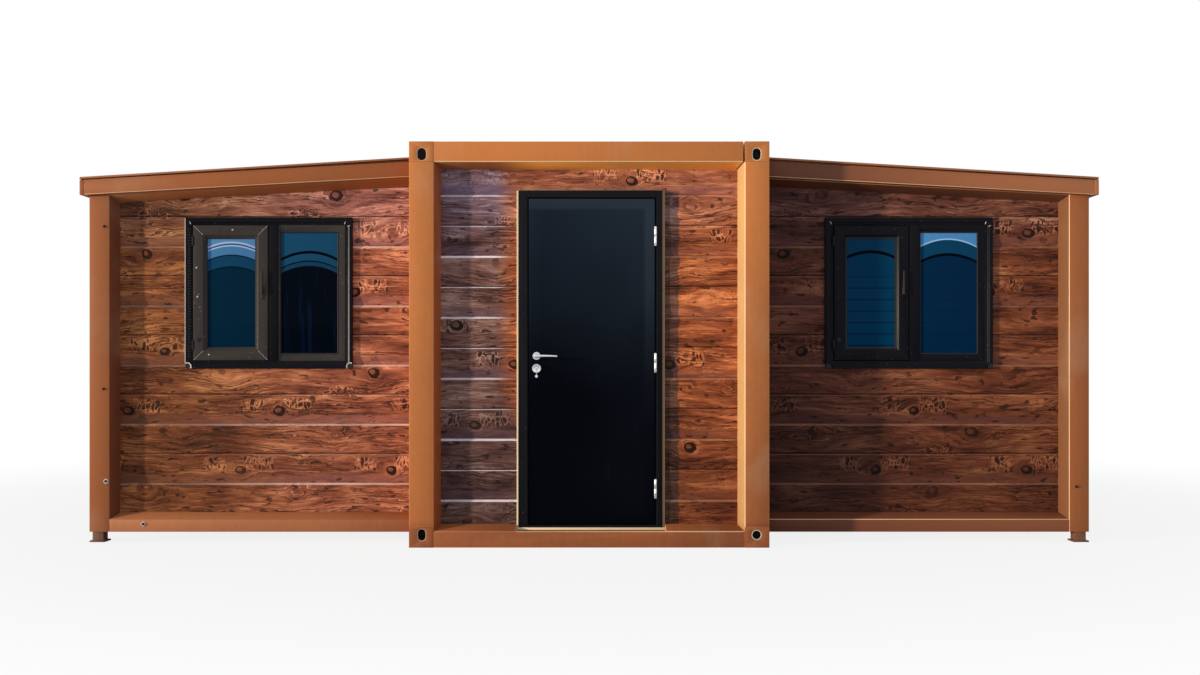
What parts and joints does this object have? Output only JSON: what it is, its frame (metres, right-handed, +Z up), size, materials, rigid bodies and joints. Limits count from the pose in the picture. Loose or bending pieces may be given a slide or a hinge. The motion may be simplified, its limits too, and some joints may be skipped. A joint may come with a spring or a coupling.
{
  "type": "expandable container cabin",
  "caption": "Expandable container cabin: a forward steel box with a hinged front door and a sloping-roofed wing on each side, clad in boards, with casement windows.",
  "frame": {"origin": "under the middle of the cabin, on the ground", "axes": "+X to the right when facing the door, +Y to the rear, +Z up; the front faces -Y"},
  "size_m": [6.4, 5.9, 2.48],
  "materials": {
    "box_steel": "copper paint, satin",
    "wing_steel": "copper paint, satin",
    "siding": "embossed boards with a clear satin coat",
    "floor_board": "sealed board",
    "zinc_steel": "grey primer",
    "roof_sheet": "dark matt paint",
    "roof_panel": "white sandwich panel",
    "foot_plate": "pale primer",
    "door_frame": "near-black satin",
    "edge_strip": "pale gold satin",
    "door_leaf": "blue-black satin",
    "bright_steel": "brushed",
    "window_frame": "dark powder coat",
    "window_glass": "tinted blue"
  },
  "bodies": {
    "cabin": {"post_front_left": "box_steel", "post_front_right": "box_steel", "post_rear_left": "box_steel", "post_rear_right": "box_steel", "rail_front_top": "box_steel", "rail_front_bottom": "box_steel", "rail_rear_top": "box_steel", "rail_rear_bottom": "box_steel", "side_rails_top": "box_steel", "side_rails_bottom": "box_steel", "castings_top": "box_steel", "casting_front_left": "box_steel", "casting_front_right": "box_steel", "castings_rear": "box_steel", "box_returns": "box_steel", "box_floor": "floor_board", "box_joists": "zinc_steel", "box_roof": "roof_sheet", "front_wall_left": "siding", "front_wall_right": "siding", "front_wall_over_door": "siding", "rear_wall": "siding", "door_frame": "door_frame", "door_edge_strip": "edge_strip", "door_hinges_fixed": "bright_steel", "wing_posts": "wing_steel", "wing_base_rails": "wing_steel", "wing_top_rails": "wing_steel", "wing_feet": "foot_plate", "wing_left_floor": "floor_board", "wing_right_floor": "floor_board", "wing_left_front_wall": "siding", "wing_right_front_wall": "siding", "wing_left_rear_wall": "siding", "wing_right_rear_wall": "siding", "wing_left_side_wall": "siding", "wing_right_side_wall": "siding", "wing_left_roof": "roof_panel", "wing_right_roof": "roof_panel", "roof_sheets": "roof_sheet", "fascias_front": "wing_steel", "fascias_rear": "wing_steel", "fascias_eaves": "wing_steel", "windows_left_frames": "window_frame", "windows_right_frames": "window_frame", "windows_left_sashes": "window_frame", "windows_right_sashes": "window_frame", "windows_left_glass": "window_glass", "windows_right_glass": "window_glass"},
    "door": {"door_leaf": "door_leaf", "door_hinges_moving": "bright_steel", "door_rosettes": "bright_steel"},
    "lever": {"door_lever": "bright_steel"}
  },
  "joints": [
    {"name": "door_swing", "type": "hinge", "parent": "cabin", "child": "door", "pos_m": [0.408, -2.89, 1.129], "axis": [0, 0, 1], "range_deg": [0, 120]},
    {"name": "lever_turn", "type": "hinge", "parent": "door", "child": "lever", "pos_m": [-0.324, -2.88, 1.171], "axis": [0, 1, 0], "range_deg": [0, 40], "stiffness_Nm_per_rad": 2, "springref_deg": -28.65}
  ]
}
